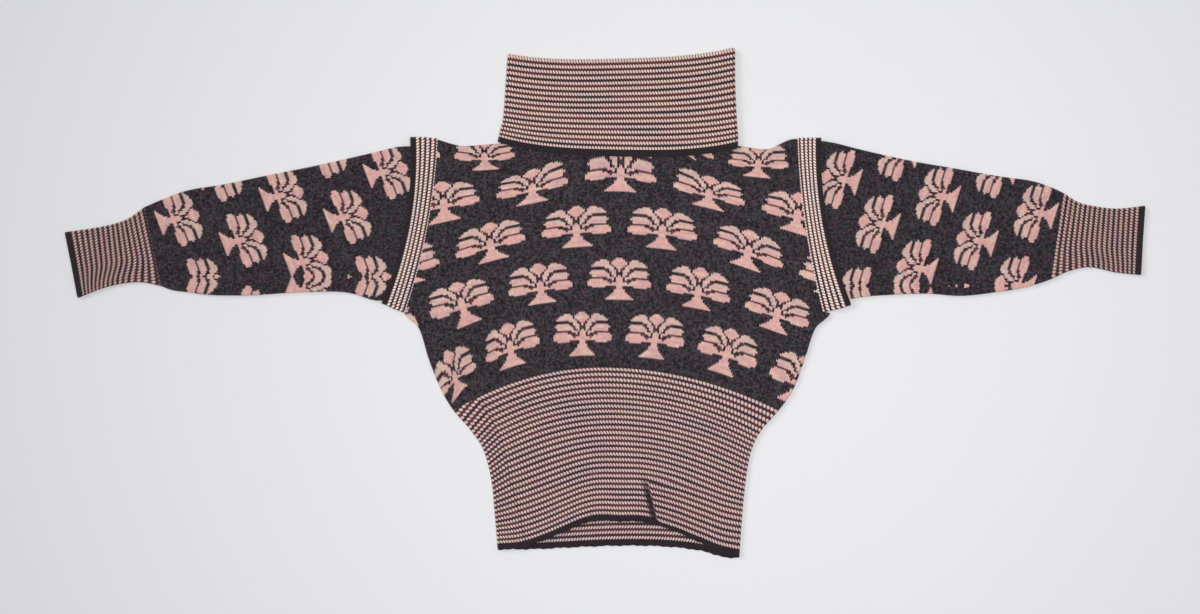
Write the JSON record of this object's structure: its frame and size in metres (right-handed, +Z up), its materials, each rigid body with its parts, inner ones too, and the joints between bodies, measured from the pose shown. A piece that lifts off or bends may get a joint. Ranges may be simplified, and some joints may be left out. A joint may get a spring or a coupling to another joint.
{
  "type": "high neck sweater",
  "caption": "Knitted high neck sweater laid flat, with a turned-down roll collar, striped armhole bands, deep striped waistband and long sleeves with cuffs.",
  "frame": {"origin": "Under the middle of the garment's bounding box, on the surface it lies on.", "axes": "+X from cuff to cuff, towards the wearer's left sleeve; +Y towards the collar; +Z up from the surface, with the garment's front facing up."},
  "size_m": [1.5099, 0.7126, 0.0112],
  "materials": {
    "motif_knit": "soft wool-blend knit, charcoal heather with a rose and beige palm repeat",
    "striped_knit": "soft wool-blend knit, fine beige-rose and maroon-brown stripes with a dark edge"
  },
  "bodies": {
    "root": {"body_front": "motif_knit", "body_back": "motif_knit", "sleeve_left": "motif_knit", "sleeve_right": "motif_knit", "waistband_front": "striped_knit", "waistband_back": "striped_knit", "cuff_left": "striped_knit", "cuff_right": "striped_knit", "armhole_band_left": "striped_knit", "armhole_band_right": "striped_knit", "collar": "striped_knit"}
  },
  "joints": []
}
